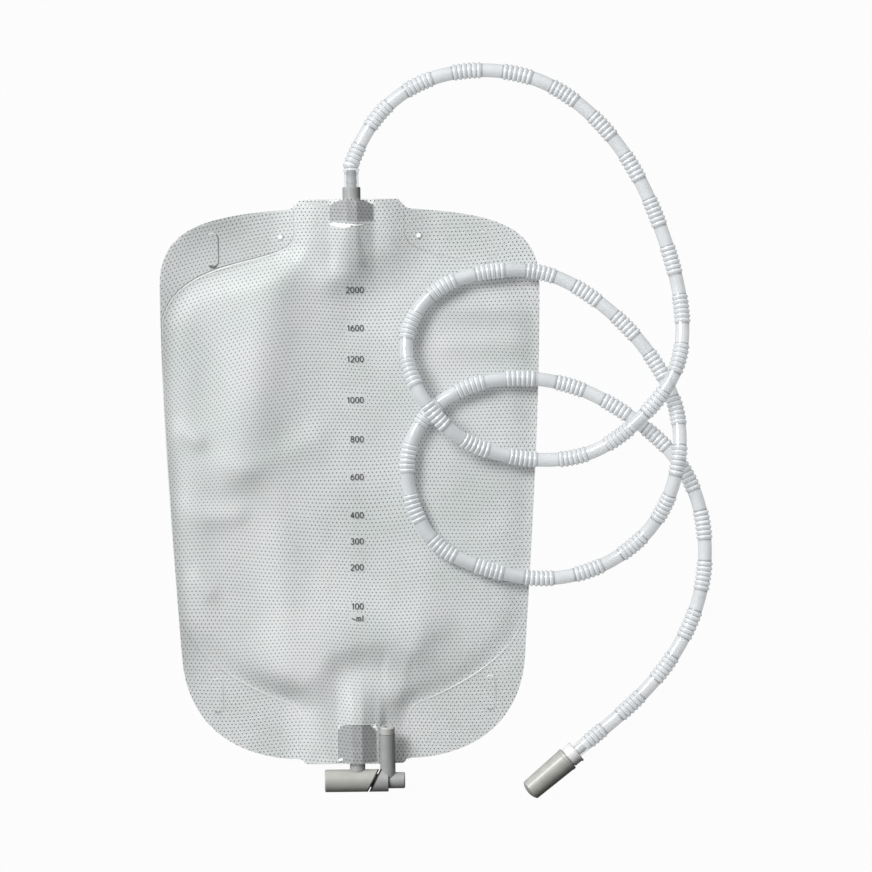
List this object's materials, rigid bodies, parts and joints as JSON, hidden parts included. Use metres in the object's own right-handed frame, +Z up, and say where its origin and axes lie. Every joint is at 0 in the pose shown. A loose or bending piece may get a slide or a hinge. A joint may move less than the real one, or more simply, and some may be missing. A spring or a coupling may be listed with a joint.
{
  "type": "urine drainage bag",
  "caption": "Empty urine drainage bag of clear welded film with a turning bottom tap, lying flat with its coiled tube, tube connector and protective cap.",
  "frame": {"origin": "on the surface that the bag lies on, in the middle of the bag with its ports and tap", "axes": "+Y along the bag towards its inlet port, +Z up out of the printed face, +X to the right of a viewer of the printed face"},
  "size_m": [0.3117, 0.4172, 0.0228],
  "materials": {
    "clear_film": "embossed translucent film",
    "sleeve_film": "smooth translucent film",
    "port_plastic": "satin",
    "barrel_plastic": "satin",
    "seal_rubber": "matt",
    "plunger_plastic": "satin",
    "rotor_plastic": "satin",
    "tip_plastic": "satin",
    "tube_plastic": "glossy, soft",
    "connector_plastic": "satin",
    "cap_plastic": "satin"
  },
  "bodies": {
    "root": {"back_film": "clear_film", "front_film": "clear_film", "inlet_port": "port_plastic", "non_return_valve": "sleeve_film", "outlet_port": "port_plastic", "valve_barrel": "barrel_plastic", "barrel_seal_left": "seal_rubber", "barrel_seal_right": "seal_rubber", "drainage_tube": "tube_plastic", "tube_connector": "connector_plastic"},
    "plunger": {"valve_plunger": "plunger_plastic"},
    "rotor": {"valve_rotor": "rotor_plastic", "spout_tip": "tip_plastic"},
    "cap": {"protective_cap": "cap_plastic"}
  },
  "joints": [
    {"name": "plunger_slide", "type": "slide", "parent": "root", "child": "plunger", "axis": [1, 0, 0], "range_m": [0, 0.0081]},
    {"name": "spout_turn", "type": "hinge", "parent": "plunger", "child": "rotor", "pos_m": [0.0187, -0.16975, 0.0064], "axis": [1, 0, 0], "range_deg": [0, 167]},
    {"name": "cap_pull", "type": "slide", "parent": "root", "child": "cap", "axis": [-0.77, -0.638, 0], "range_m": [0, 0.03]}
  ],
  "couplings": [
    {"joint": "plunger_slide", "follows": "spout_turn", "m_per_rad": 0.00275}
  ]
}
